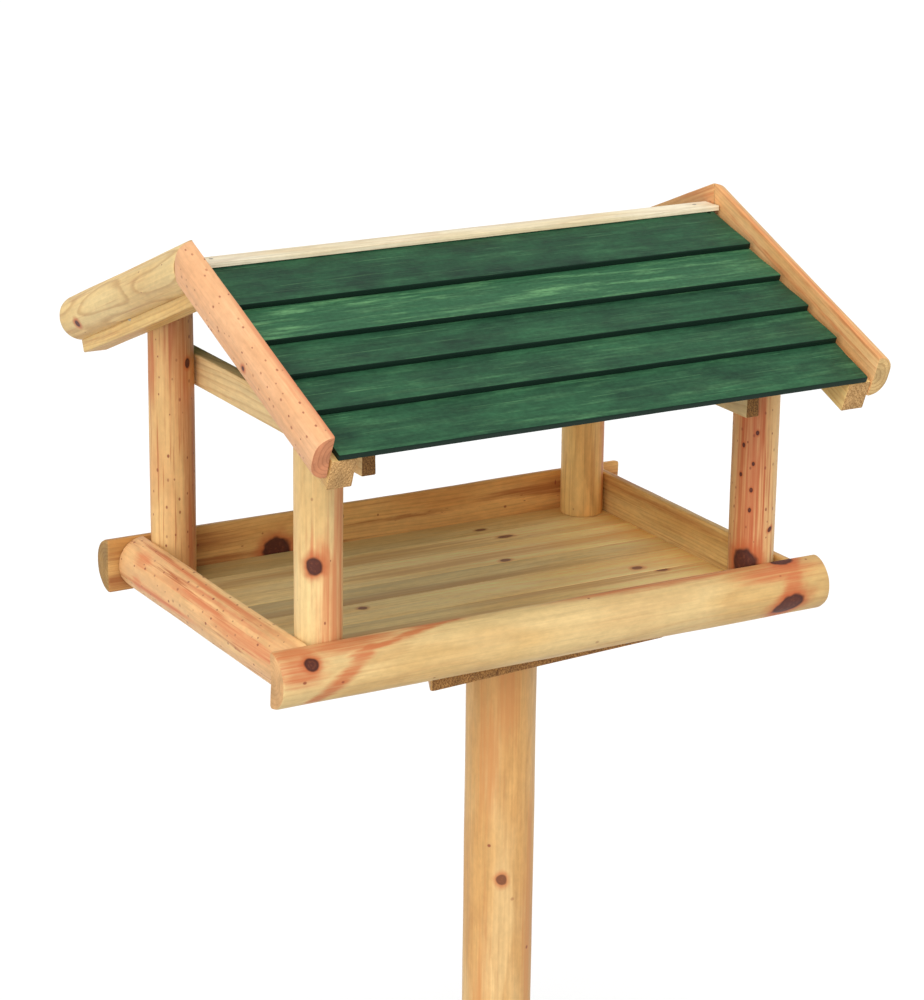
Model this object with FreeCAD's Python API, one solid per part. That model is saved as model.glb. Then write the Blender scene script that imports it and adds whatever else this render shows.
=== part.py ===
import FreeCAD, Part
import math
import os

# Bird feeder on a pole. Millimetres, +Z up. The origin is on the ground, on the pole's axis.
# +X runs along the ridge towards the right gable and +Y runs to the rear.
# Logs are round stock or round stock sawn in half; a half log shows its round side outwards.

Vector = FreeCAD.Vector

# Pole and its tripod foot
POLE_RADIUS = 29.0
POLE_LENGTH = 850.0
LEG_RADIUS = 23.0
LEG_ANGLES = {"leg_rear": 90.0, "leg_left": 210.0, "leg_right": 330.0}
LEG_SEAT = 26.0              # distance of a leg's flat seat from the pole's axis
LEG_AXIS_HEIGHT = 204.0      # where a leg's axis meets its seat; legs slope at 45 degrees
SEAT_MARGIN = 6.0            # seat left above and below a leg's end

# Support plate between the pole and the tray: an equilateral triangle, fixed slightly askew
PLATE_SIDE = 232.0
PLATE_THICKNESS = 13.0
PLATE_TURN = 5.0

# Tray: the floor panel lies inside four half-log rims
TRAY_Y = 69.0                # the tray's centre lies behind the pole's axis
RIM_LENGTH = 500.0
RIM_RADIUS = 23.0
FLOOR_LENGTH = 436.0
FLOOR_DEPTH = 300.0
FLOOR_THICKNESS = 11.0

# Posts, one in each corner of the tray
POST_RADIUS = 19.0
POST_X = 198.8
POST_Y = 130.6

# Roof. Its reference plane on each slope holds the gable logs' top edges.
ROOF_PITCH = math.radians(22.0)
PEAK_ABOVE_RIMS = 283.0
ROOF_SLOPE = 255.0
GABLE_X = 238.0              # the gable logs' flat faces
GABLE_RADIUS = 19.0
GABLE_SAW = 2.0              # the saw cut runs this far outside the gable logs' axis
RAFTER_DROP = 22.5           # top of the rafters, square to the slope, below the reference plane
RAFTER_DEPTH = 26.0
RAFTER_INNER_X = 217.0
TIE_THICKNESS = 12.0
TIE_DEPTH = 27.0
TIE_ABOVE_RIMS = 129.0
TIE_OUTER_X = 178.8
TIE_LENGTH = 324.0

# Lapped planks, counted from the eaves up
PLANK_COUNT = 5
PLANK_THICKNESS = 5.0
PLANK_WIDTH = 60.0
PLANK_EXPOSURES = (47.0, 43.0, 43.0, 47.0)
PLANK_LENGTH = 466.0
EAVES_SLOPE = 255.5
LATH_WIDTH = 21.0
LATH_THICKNESS = 4.2

# Fasteners: shank radius, head radius and head depth
SCREW = (2.0, 4.0, 2.5)
POLE_SCREW = (3.0, 6.0, 3.5)
NAIL = (0.9, 1.8, 0.8)
TIP_LENGTH = 4.0
COUNTERBORE_RADIUS = 6.5
LEG_SCREW_LENGTH = 46.0
LEG_SCREW_HEIGHTS = (184.0, 200.0)
LEG_SCREW_HEAD = 54.0        # distance of the sunk heads from the pole's axis
RIM_NAILS_X = (-180.0, -60.0, 60.0, 180.0)
RIM_NAILS_Y = (-90.0, 0.0, 90.0)
GABLE_SCREWS_ALONG = (50.0, 221.0)
PLANK_NAIL_EDGE = 7.5        # from a plank's upper edge, under the next plank's lap
TOP_NAIL_EDGE = 2.6          # the same on the top planks, under the ridge lath

# Levels
TRAY_Z = POLE_LENGTH + PLATE_THICKNESS
FLOOR_TOP = TRAY_Z + FLOOR_THICKNESS
RIM_TOP = TRAY_Z + 2.0 * RIM_RADIUS
PEAK_Z = RIM_TOP + PEAK_ABOVE_RIMS
TIE_Z = RIM_TOP + TIE_ABOVE_RIMS

SIDES = {"left": -1.0, "right": 1.0}
SLOPES = {"front": -1.0, "rear": 1.0}


def box(low, high):
    """A box between two opposite corners."""
    corner = Vector(*[min(a, b) for a, b in zip(low, high)])
    size = [abs(b - a) for a, b in zip(low, high)]
    return Part.makeBox(size[0], size[1], size[2], corner)


def rod(start, end, radius):
    """A round rod from one point to another."""
    return Part.makeCylinder(radius, (end - start).Length, start, end - start)


def fastener(head, toward, length, sizes):
    """A pointed fastener with a countersunk head whose top is centred on the point head."""
    shank_radius, head_radius, head_depth = sizes
    outline = [
        Vector(0, 0, 0),
        Vector(head_radius, 0, 0),
        Vector(shank_radius, 0, head_depth),
        Vector(shank_radius, 0, length - TIP_LENGTH),
        Vector(0, 0, length),
        Vector(0, 0, 0),
    ]
    solid = Part.Face(Part.makePolygon(outline)).revolve(Vector(0, 0, 0), Vector(0, 0, 1), 360)
    solid.Placement = FreeCAD.Placement(head, FreeCAD.Rotation(Vector(0, 0, 1), toward))
    return solid


def slope_point(slope, x, along, below):
    """A point given by its distance down the slope and its depth below the reference plane."""
    y = TRAY_Y + slope * (along * math.cos(ROOF_PITCH) - below * math.sin(ROOF_PITCH))
    z = PEAK_Z - along * math.sin(ROOF_PITCH) - below * math.cos(ROOF_PITCH)
    return Vector(x, y, z)


def slope_prism(slope, x_low, x_high, outline):
    """A piece along X whose section is a list of (along, below) corners on a slope."""
    corners = [slope_point(slope, x_low, along, below) for along, below in outline]
    face = Part.Face(Part.makePolygon(corners + corners[:1]))
    return face.extrude(Vector(x_high - x_low, 0, 0))


def add_tray(pieces):
    """The floor panel and the four half-log rims round it."""
    half_length = FLOOR_LENGTH / 2
    front_y = TRAY_Y - FLOOR_DEPTH / 2
    rear_y = TRAY_Y + FLOOR_DEPTH / 2
    axis_z = TRAY_Z + RIM_RADIUS
    pieces["floor_panel"] = box((-half_length, front_y, TRAY_Z), (half_length, rear_y, FLOOR_TOP))

    for name, slope in SLOPES.items():
        y = TRAY_Y + slope * FLOOR_DEPTH / 2
        log = rod(Vector(-RIM_LENGTH / 2, y, axis_z), Vector(RIM_LENGTH / 2, y, axis_z), RIM_RADIUS)
        outer_half = box((-RIM_LENGTH, y, TRAY_Z), (RIM_LENGTH, y + slope * RIM_RADIUS, RIM_TOP))
        pieces[name + "_rim"] = log.common(outer_half)

    for name, side in SIDES.items():
        x = side * half_length
        log = rod(Vector(x, front_y, axis_z), Vector(x, rear_y, axis_z), RIM_RADIUS)
        outer_half = box((x, front_y, TRAY_Z), (x + side * RIM_RADIUS, rear_y, RIM_TOP))
        pieces[name + "_rim"] = log.common(outer_half)


def plate_corner(number, radius):
    """A point of the support plate, towards one of its three corners. Corner 0 points to the rear."""
    angle = math.radians(90.0 + PLATE_TURN + 120.0 * number)
    return Vector(radius * math.cos(angle), radius * math.sin(angle), POLE_LENGTH)


def add_stand(pieces):
    """The pole with its three slanting legs, and the support plate on top of it."""
    corners = [plate_corner(number, PLATE_SIDE / math.sqrt(3)) for number in range(3)]
    plate = Part.Face(Part.makePolygon(corners + corners[:1])).extrude(Vector(0, 0, PLATE_THICKNESS))
    pieces["support_plate"] = plate

    pole = rod(Vector(0, 0, 0), Vector(0, 0, POLE_LENGTH), POLE_RADIUS)
    leg_reach = LEG_SEAT + LEG_AXIS_HEIGHT
    leg_top = Vector(0, 0, leg_reach)
    leg_end = Vector(leg_reach + LEG_RADIUS * 2, 0, -LEG_RADIUS * 2)
    room = box((LEG_SEAT, -LEG_RADIUS, 0), (leg_end.x, LEG_RADIUS, leg_reach))
    leg = rod(leg_top, leg_end, LEG_RADIUS).common(room)

    seat_half = LEG_RADIUS * math.sqrt(2) + SEAT_MARGIN
    seat = box(
        (LEG_SEAT, -POLE_RADIUS, LEG_AXIS_HEIGHT - seat_half),
        (POLE_RADIUS * 2, POLE_RADIUS, LEG_AXIS_HEIGHT + seat_half),
    )
    for name, angle in LEG_ANGLES.items():
        pieces[name] = leg.rotated(Vector(0, 0, 0), Vector(0, 0, 1), angle)
        pole = pole.cut(seat.rotated(Vector(0, 0, 0), Vector(0, 0, 1), angle))
    pieces["pole"] = pole


def add_roof_frame(pieces):
    """Rafters, gable logs and tie beams, and the posts housed against them."""
    rafter_base = RAFTER_DROP + RAFTER_DEPTH
    plumb = math.tan(ROOF_PITCH)
    rafter_section = [
        (RAFTER_DROP * plumb, RAFTER_DROP),
        (ROOF_SLOPE, RAFTER_DROP),
        (ROOF_SLOPE, rafter_base),
        (rafter_base * plumb, rafter_base),
    ]
    log_overrun = GABLE_RADIUS * 2
    for side_name, side in SIDES.items():
        inner = side * RAFTER_INNER_X
        outer = side * GABLE_X
        tie_outer = side * TIE_OUTER_X
        tie = box(
            (tie_outer - side * TIE_THICKNESS, TRAY_Y - TIE_LENGTH / 2, TIE_Z),
            (tie_outer, TRAY_Y + TIE_LENGTH / 2, TIE_Z + TIE_DEPTH),
        )
        pieces["tie_beam_" + side_name] = tie
        for slope_name, slope in SLOPES.items():
            corner = slope_name + "_" + side_name
            rafter = slope_prism(slope, inner, outer, rafter_section)
            pieces["rafter_" + corner] = rafter

            axis_x = outer - side * GABLE_SAW
            log = rod(
                slope_point(slope, axis_x, -log_overrun, GABLE_RADIUS),
                slope_point(slope, axis_x, ROOF_SLOPE, GABLE_RADIUS),
                GABLE_RADIUS,
            )
            own_quarter = box(
                (outer, TRAY_Y, RIM_TOP),
                (outer + side * GABLE_RADIUS, TRAY_Y + slope * ROOF_SLOPE, PEAK_Z + log_overrun),
            )
            pieces["gable_log_" + corner] = log.common(own_quarter)

            foot = Vector(side * POST_X, TRAY_Y + slope * POST_Y, FLOOR_TOP)
            post = rod(foot, Vector(foot.x, foot.y, PEAK_Z), POST_RADIUS)
            above_rafters = slope_prism(
                slope,
                -GABLE_X,
                GABLE_X,
                [(0, RAFTER_DROP), (ROOF_SLOPE, RAFTER_DROP), (ROOF_SLOPE, -ROOF_SLOPE), (0, -ROOF_SLOPE)],
            )
            pieces["post_" + corner] = post.cut(above_rafters).cut(rafter).cut(tie)


def plank_layout():
    """Each plank's lower end, upper end and rise of its lower end above the rafters, eaves first."""
    layout = []
    lower = EAVES_SLOPE
    rise = 0.0
    for exposure in PLANK_EXPOSURES + (0.0,):
        upper = lower - math.sqrt(PLANK_WIDTH ** 2 - rise ** 2)
        layout.append((lower, upper, rise))
        tilt = math.asin(rise / PLANK_WIDTH)
        share = (lower - exposure - upper) / (lower - upper)
        lower -= exposure
        rise = rise * share + PLANK_THICKNESS / math.cos(tilt)
    return layout


def plank_corner(lower, upper, rise, share, height):
    """(along, below) of a point of a plank: share 0 is its upper end and height is above its base."""
    tilt = math.atan2(rise, lower - upper)
    along = upper + (lower - upper) * share - height * math.sin(tilt)
    below = RAFTER_DROP - rise * share - height * math.cos(tilt)
    return along, below


def add_roof_planks(pieces):
    """Five lapped planks on each slope, and the flat lath that covers the ridge."""
    half_length = PLANK_LENGTH / 2
    for slope_name, slope in SLOPES.items():
        for number, plank in enumerate(plank_layout(), start=1):
            section = [
                plank_corner(*plank, 0, 0),
                plank_corner(*plank, 1, 0),
                plank_corner(*plank, 1, PLANK_THICKNESS),
                plank_corner(*plank, 0, PLANK_THICKNESS),
            ]
            name = "roof_plank_" + slope_name + "_" + str(number)
            pieces[name] = slope_prism(slope, -half_length, half_length, section)
    base = ridge_height()
    pieces["ridge_lath"] = box(
        (-GABLE_X, TRAY_Y - LATH_WIDTH / 2, base),
        (GABLE_X, TRAY_Y + LATH_WIDTH / 2, base + LATH_THICKNESS),
    )


def ridge_height():
    """Height of the top planks' upper edges, on which the ridge lath lies."""
    top_edge = plank_corner(*plank_layout()[-1], 0, PLANK_THICKNESS)
    return slope_point(1.0, 0, *top_edge).z


def add_tray_fasteners(groups):
    """Nails through the rims into the floor's edges, and screws up through the floor into the posts."""
    nail_length = 34.0
    nail_z = TRAY_Z + FLOOR_THICKNESS / 2
    nail_start = 12.5        # the heads are set under the rims' round surface
    nails = []
    for slope in SLOPES.values():
        y = TRAY_Y + slope * (FLOOR_DEPTH / 2 + nail_start)
        for x in RIM_NAILS_X:
            nails.append(fastener(Vector(x, y, nail_z), Vector(0, -slope, 0), nail_length, NAIL))
    for side in SIDES.values():
        x = side * (FLOOR_LENGTH / 2 + nail_start)
        for y in RIM_NAILS_Y:
            nails.append(fastener(Vector(x, TRAY_Y + y, nail_z), Vector(-side, 0, 0), nail_length, NAIL))
    groups["rim_nails"] = nails

    screw_length = 55.0
    groups["post_screws"] = [
        fastener(Vector(side * POST_X, TRAY_Y + slope * POST_Y, TRAY_Z), Vector(0, 0, 1), screw_length, SCREW)
        for side in SIDES.values()
        for slope in SLOPES.values()
    ]


def add_stand_fasteners(groups):
    """Screws that join the plate to the pole and to the floor, and the legs to the pole."""
    plate_radius = 95.0
    plate_length = 20.0
    pole_radius = 16.0
    pole_length = 70.0
    up = Vector(0, 0, 1)
    groups["plate_screws"] = [
        fastener(plate_corner(number, plate_radius), up, plate_length, SCREW) for number in range(3)
    ]
    groups["pole_screws"] = [
        fastener(plate_corner(number, pole_radius) + up * PLATE_THICKNESS, -up, pole_length, POLE_SCREW)
        for number in range(3)
    ]
    groups["leg_screws"] = [
        fastener(head, toward, LEG_SCREW_LENGTH, POLE_SCREW) for head, toward in leg_screw_places()
    ]


def leg_screw_places():
    """Head point and direction of each leg screw."""
    places = []
    for angle in LEG_ANGLES.values():
        outward = Vector(math.cos(math.radians(angle)), math.sin(math.radians(angle)), 0)
        for height in LEG_SCREW_HEIGHTS:
            places.append((outward * LEG_SCREW_HEAD + Vector(0, 0, height), -outward))
    return places


def add_roof_fasteners(groups):
    """Screws at the rafters, tie beams and gable logs, and nails in the planks and the ridge lath."""
    rafter_length = 45.0
    tie_length = 35.0
    gable_length = 31.0
    nail_length = 28.0
    lath_nail_length = 25.0
    rafter_screw_shift = -7.0        # keeps them clear of the planks' nails
    lath_nail_shift = 3.0            # from the mitre into the rear rafters
    lath_nail_x = RAFTER_INNER_X + 5.0
    rafter_middle = RAFTER_DROP + RAFTER_DEPTH / 2
    gable_overlap = (RAFTER_DROP + 2.0 * GABLE_RADIUS) / 2
    nail_x = RAFTER_INNER_X + 11.0

    for name in ("rafter_screws", "tie_screws", "gable_screws", "plank_nails", "ridge_nails"):
        groups[name] = []
    for side in SIDES.values():
        outward = Vector(side, 0, 0)
        lath_nail = Vector(side * lath_nail_x, TRAY_Y + lath_nail_shift, ridge_height() + LATH_THICKNESS)
        groups["ridge_nails"].append(fastener(lath_nail, Vector(0, 0, -1), lath_nail_length, NAIL))
        for slope in SLOPES.values():
            screw_y = POST_Y + rafter_screw_shift
            along = (screw_y + rafter_middle * math.sin(ROOF_PITCH)) / math.cos(ROOF_PITCH)
            head = slope_point(slope, side * GABLE_X, along, rafter_middle)
            groups["rafter_screws"].append(fastener(head, -outward, rafter_length, SCREW))

            tie_inner = side * (TIE_OUTER_X - TIE_THICKNESS)
            head = Vector(tie_inner, TRAY_Y + slope * POST_Y, TIE_Z + TIE_DEPTH * 2 / 3)
            groups["tie_screws"].append(fastener(head, outward, tie_length, SCREW))

            for along in GABLE_SCREWS_ALONG:
                head = slope_point(slope, side * RAFTER_INNER_X, along, gable_overlap)
                groups["gable_screws"].append(fastener(head, outward, gable_length, SCREW))

            for number, (lower, upper, rise) in enumerate(plank_layout(), start=1):
                edge = TOP_NAIL_EDGE if number == PLANK_COUNT else PLANK_NAIL_EDGE
                share = edge / (lower - upper)
                top = plank_corner(lower, upper, rise, share, PLANK_THICKNESS)
                base = plank_corner(lower, upper, rise, share, 0)
                head = slope_point(slope, side * nail_x, *top)
                toward = slope_point(slope, side * nail_x, *base) - head
                groups["plank_nails"].append(fastener(head, toward, nail_length, NAIL))


def drill(pieces, groups):
    """Cut the fasteners' holes, and the counterbores over the leg screws' sunk heads."""
    cutters = [solid for solids in groups.values() for solid in solids]
    for head, toward in leg_screw_places():
        cutters.append(rod(head, head - toward * LEG_RADIUS * 2, COUNTERBORE_RADIUS))
    for name, piece in pieces.items():
        near = [tool for tool in cutters if piece.BoundBox.intersect(tool.BoundBox)]
        holes = [tool for tool in near if piece.common(tool).Volume > 0]
        if holes:
            pieces[name] = piece.cut(holes)


def export(pieces, groups):
    """Write each piece, and each group of fasteners, as its own STEP file."""
    os.makedirs("parts", exist_ok=True)
    for name, piece in pieces.items():
        if len(piece.Solids) != 1:
            raise ValueError(name + " is not one solid")
        piece.Solids[0].exportStep("parts/" + name + ".step")
    for name, solids in groups.items():
        Part.makeCompound(solids).exportStep("parts/" + name + ".step")


pieces = {}
groups = {}
add_tray(pieces)
add_stand(pieces)
add_roof_frame(pieces)
add_roof_planks(pieces)
add_tray_fasteners(groups)
add_stand_fasteners(groups)
add_roof_fasteners(groups)
drill(pieces, groups)
export(pieces, groups)
print(len(pieces), "pieces and", len(groups), "groups of fasteners")
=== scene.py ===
"""Looks of the bird feeder on its pole: every wooden piece is rebuilt as a detailed mesh over its CAD node.

Metres, in the row frame: the origin is on the ground on the pole's axis, +X runs along the ridge, +Y to
the rear and +Z up. A piece is a "stick": a section swept along an axis, with eased corners and a little
waviness. Each stick carries its wood's own coordinates, along the grain and across it from the pith, so
that rings, fibres and knots run through it as through real timber.
"""

import math

import bpy
from mathutils import Matrix, Vector, noise


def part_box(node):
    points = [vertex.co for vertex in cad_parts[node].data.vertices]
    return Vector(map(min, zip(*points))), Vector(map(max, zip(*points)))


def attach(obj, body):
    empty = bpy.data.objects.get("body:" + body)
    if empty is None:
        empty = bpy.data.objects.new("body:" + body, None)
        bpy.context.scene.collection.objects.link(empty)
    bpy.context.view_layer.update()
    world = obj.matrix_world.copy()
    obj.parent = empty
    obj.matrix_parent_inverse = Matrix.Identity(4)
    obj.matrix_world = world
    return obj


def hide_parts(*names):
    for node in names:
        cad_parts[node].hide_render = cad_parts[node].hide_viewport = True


MM = 0.001
X, Y, Z = Vector((1, 0, 0)), Vector((0, 1, 0)), Vector((0, 0, 1))

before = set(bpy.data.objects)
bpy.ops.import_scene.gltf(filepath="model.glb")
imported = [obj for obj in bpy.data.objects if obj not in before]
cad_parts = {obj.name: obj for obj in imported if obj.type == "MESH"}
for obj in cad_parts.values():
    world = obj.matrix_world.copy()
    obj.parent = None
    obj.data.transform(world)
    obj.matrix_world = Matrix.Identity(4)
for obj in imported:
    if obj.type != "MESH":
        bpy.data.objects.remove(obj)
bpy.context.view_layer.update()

# --- sizes that the boxes don't give
ROOF_PITCH = math.radians(22)
RAFTER_DROP = 22.5 * MM          # rafters' top below the gable logs' top edge, square to the slope
RAFTER_DEPTH = 26 * MM
GABLE_RADIUS = 19 * MM
LEG_ANGLES = {"leg_rear": 90, "leg_left": 210, "leg_right": 330}
LEG_SEAT = 26 * MM               # distance of the legs' flat seats from the pole's axis
LEG_RADIUS = 23 * MM
SEAT_SPAN = (165.5 * MM, 242.5 * MM)
COUNTERBORE_RADIUS = 6.5 * MM
LEG_SCREW_HEIGHTS = (184 * MM, 200 * MM)
LEG_SCREW_HEAD = 54 * MM
PLANK_THICKNESS = 5 * MM
ROOF_SLOPE = 255 * MM            # length of a slope from the peak to the gable logs' lower ends
PLATE_SIDE = 232 * MM
PLATE_TURN = 5

STEP = 7 * MM                    # spacing of sections along a stick
FACET = 3.5 * MM                 # longest side of a section's outline
EASE = 1.1 * MM                  # rounding of sawn corners
HALF_FACETS = 22                 # sides of a half log's round
SHARP_CORNER = math.radians(35)  # a section's corners that turn more are rounded
SHADE_BREAK = math.radians(38)   # faces that meet at more than this show an edge
CUT_FACING = 0.6                 # a face whose normal lies this much along the grain is end grain

SIDES = {"left": -1, "right": 1}
SLOPES = {"front": -1, "rear": 1}


# --- section outlines
def eased(corners, radius=EASE):
    """A closed outline of (across, up) points, its sharp corners rounded and its long sides divided."""
    points = []
    count = len(corners)
    for number, corner in enumerate(corners):
        here = Vector(corner)
        before = Vector(corners[number - 1]) - here
        after = Vector(corners[(number + 1) % count]) - here
        turn = math.pi - before.angle(after)
        if turn < SHARP_CORNER:
            points.append(here)
            continue
        back = min(radius * math.tan(turn / 2), before.length * 0.45, after.length * 0.45)
        start = here + before.normalized() * back
        end = here + after.normalized() * back
        for share in (0.0, 0.33, 0.67, 1.0):
            points.append(start.lerp(here, share).lerp(here.lerp(end, share), share))
    outline = []
    for number, point in enumerate(points):
        following = points[(number + 1) % len(points)]
        parts = max(1, round((following - point).length / FACET))
        for part in range(parts):
            outline.append(point.lerp(following, part / parts))
    return outline


def round_section(radius, facets=40):
    """The outline of a whole log."""
    angles = [2 * math.pi * n / facets for n in range(facets)]
    return [Vector((radius * math.cos(a), radius * math.sin(a))) for a in angles]


def half_section(radius, flatness=2.0, saw=0.0):
    """The outline of a sawn log, its flat on across = 0.

    A flatness over 2 squares its round side a little. saw is how far the cut runs outside the log's axis.
    """
    corners = []
    reach = math.acos(saw / radius)
    for number in range(HALF_FACETS + 1):
        angle = reach * (2 * number / HALF_FACETS - 1)
        across = math.copysign(abs(math.cos(angle)) ** (2 / flatness), math.cos(angle))
        up = math.copysign(abs(math.sin(angle)) ** (2 / flatness), math.sin(angle))
        corners.append((max(radius * across - saw, 0.0), radius * up))
    return eased(corners)


def board_section(width, thickness, radius=EASE):
    """The outline of a sawn board, centred."""
    half_w, half_t = width / 2, thickness / 2
    corners = [(-half_w, -half_t), (half_w, -half_t), (half_w, half_t), (-half_w, half_t)]
    return eased(corners, radius)


# --- sticks
class Wood:
    """How a stick lies in its tree, and its tone."""

    count = 0

    def __init__(self, pith=(0.0, 0.0), grain="along", tone=0.0):
        Wood.count += 1
        self.pith = pith                     # (across, up) of the pith, from the stick's own axis
        self.grain = grain                   # "along" the stick, or along its "up" axis
        # The tone also holds painted shade, as on the right tie beam.
        self.tone = tone                     # lightness against the other pieces
        self.start = 3.1 * Wood.count        # keeps the noise of two pieces from being alike

    def place(self, along, across, up):
        """The wood's coordinates of a point given in the stick's axes."""
        if self.grain == "up":
            return Vector((self.start + up, across - self.pith[0], along - self.pith[1]))
        return Vector((self.start + along, across - self.pith[0], up - self.pith[1]))


def stations(length, ease, extra=()):
    """Distances of the sections along a stick: closer together where its ends are eased."""
    inner = [ease * share for share in (0.0, 0.3, 1.0)]
    outer = [length - ease * share for share in (1.0, 0.3, 0.0)]
    parts = max(2, round((length - 2 * ease) / STEP))
    middle = [ease + (length - 2 * ease) * n / parts for n in range(1, parts)]
    middle = [m for m in middle if all(abs(m - e) > STEP / 3 for e in extra)]
    return sorted(inner + middle + list(extra) + outer)


def end_share(distance, ease):
    """How much of an end's easing a section has kept: 1 at the very end and 0 past the eased stretch."""
    inside = min(max(1 - distance / ease, 0.0), 1.0)
    return 1 - math.sqrt(max(1 - inside * inside, 0.0))


def stick(name, axes, length, outline, wood, wave, ease=EASE, cuts=(None, None), shape=None, extra=()):
    """A mesh swept along a stick's axis.

    axes is (start, along, across): the third axis is their cross product. wave is the depth of its dents.
    cuts gives the slope of each end's cut as (by across, by up). shape may move a point given as (along,
    across, up). extra adds sections at those distances.
    """
    start, along_axis, across_axis = axes
    up_axis = along_axis.cross(across_axis)
    centre = sum(outline, Vector((0, 0))) / len(outline)
    reach = max((point - centre).length for point in outline)
    seed = Vector((wood.start * 7.3, 0, 0))
    vertices, coordinates, faces = [], [], []

    def add(along, across, up):
        if shape:
            along, across, up = shape(along, across, up)
        vertices.append(start + along_axis * along + across_axis * across + up_axis * up)
        coordinates.append(wood.place(along, across, up))
        return len(vertices) - 1

    def slant(along, point):
        """Moves a section's point so that the end cuts are slanted and the middle stays square."""
        share = along / length
        first, last = cuts
        if first:
            along += (1 - share) * (first[0] * point.x + first[1] * point.y)
        if last:
            along += share * (last[0] * point.x + last[1] * point.y)
        return along

    def section(along):
        near_end = min(along, length - along)
        inset = end_share(near_end, ease) * ease
        ring = []
        for point in outline:
            outward = (point - centre).normalized()
            sway = noise.noise(seed + Vector((along * 9, outward.x * 1.3, outward.y * 1.3)))
            ripple = noise.noise(seed + Vector((along * 30, outward.x * 3, outward.y * 3 + 5)))
            dent = wave * (0.5 + 0.8 * sway + 0.3 * ripple)
            moved = point - outward * (inset + max(dent, 0.0))
            ring.append(add(slant(along, moved), moved.x, moved.y))
        return ring

    def cap(ring, along, flip):
        """Closes an end with rings that shrink to its middle."""
        depth = max(2, round(reach / (2.5 * FACET)))
        last_ring = ring
        for level in range(1, depth):
            shrink = 1 - level / depth
            next_ring = []
            for point in outline:
                inner = centre + (point - centre) * shrink * (1 - ease / reach)
                next_ring.append(add(slant(along, inner), inner.x, inner.y))
            join(last_ring, next_ring, flip)
            last_ring = next_ring
        hub = add(slant(along, centre), centre.x, centre.y)
        for number in range(len(ring)):
            pair = (last_ring[number], last_ring[(number + 1) % len(ring)])
            faces.append((pair[1], pair[0], hub) if flip else (pair[0], pair[1], hub))

    def join(ring, next_ring, flip):
        for number in range(len(ring)):
            following = (number + 1) % len(ring)
            quad = (ring[number], ring[following], next_ring[following], next_ring[number])
            faces.append(tuple(reversed(quad)) if flip else quad)

    rings = [section(along) for along in stations(length, ease, extra)]
    for ring, next_ring in zip(rings, rings[1:]):
        join(ring, next_ring, False)
    cap(rings[0], 0.0, True)
    cap(rings[-1], length, False)
    return build(name, vertices, coordinates, faces, wood, along_axis if wood.grain == "along" else up_axis)


def build(name, vertices, coordinates, faces, wood, grain_axis):
    """Makes the mesh object, with its wood coordinates, tone and end-grain mark as attributes. The tone also
    carries painted shade and light on some pieces.
    """
    mesh = bpy.data.meshes.new(name)
    mesh.from_pydata(vertices, [], faces)
    mesh.validate()
    mesh.shade_smooth()
    mesh.set_sharp_from_angle(angle=SHADE_BREAK)
    where = mesh.attributes.new("wood", "FLOAT_VECTOR", "POINT")
    where.data.foreach_set("vector", [value for point in coordinates for value in point])
    tone = mesh.attributes.new("tone", "FLOAT", "POINT")
    tone.data.foreach_set("value", [wood.tone] * len(mesh.vertices))
    cut = mesh.attributes.new("cut", "FLOAT", "FACE")
    facing = [abs(polygon.normal.dot(grain_axis)) for polygon in mesh.polygons]
    cut.data.foreach_set("value", [float(share > CUT_FACING) for share in facing])
    piece = bpy.data.objects.new(name, mesh)
    bpy.context.scene.collection.objects.link(piece)
    return piece


# --- material nodes
def linear(red, green, blue):
    """A colour seen on a screen, 0 to 255, as the renderer's linear colour."""
    channels = []
    for value in (red, green, blue):
        share = value / 255
        channels.append(share / 12.92 if share <= 0.04045 else ((share + 0.055) / 1.055) ** 2.4)
    return (*channels, 1.0)


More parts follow.
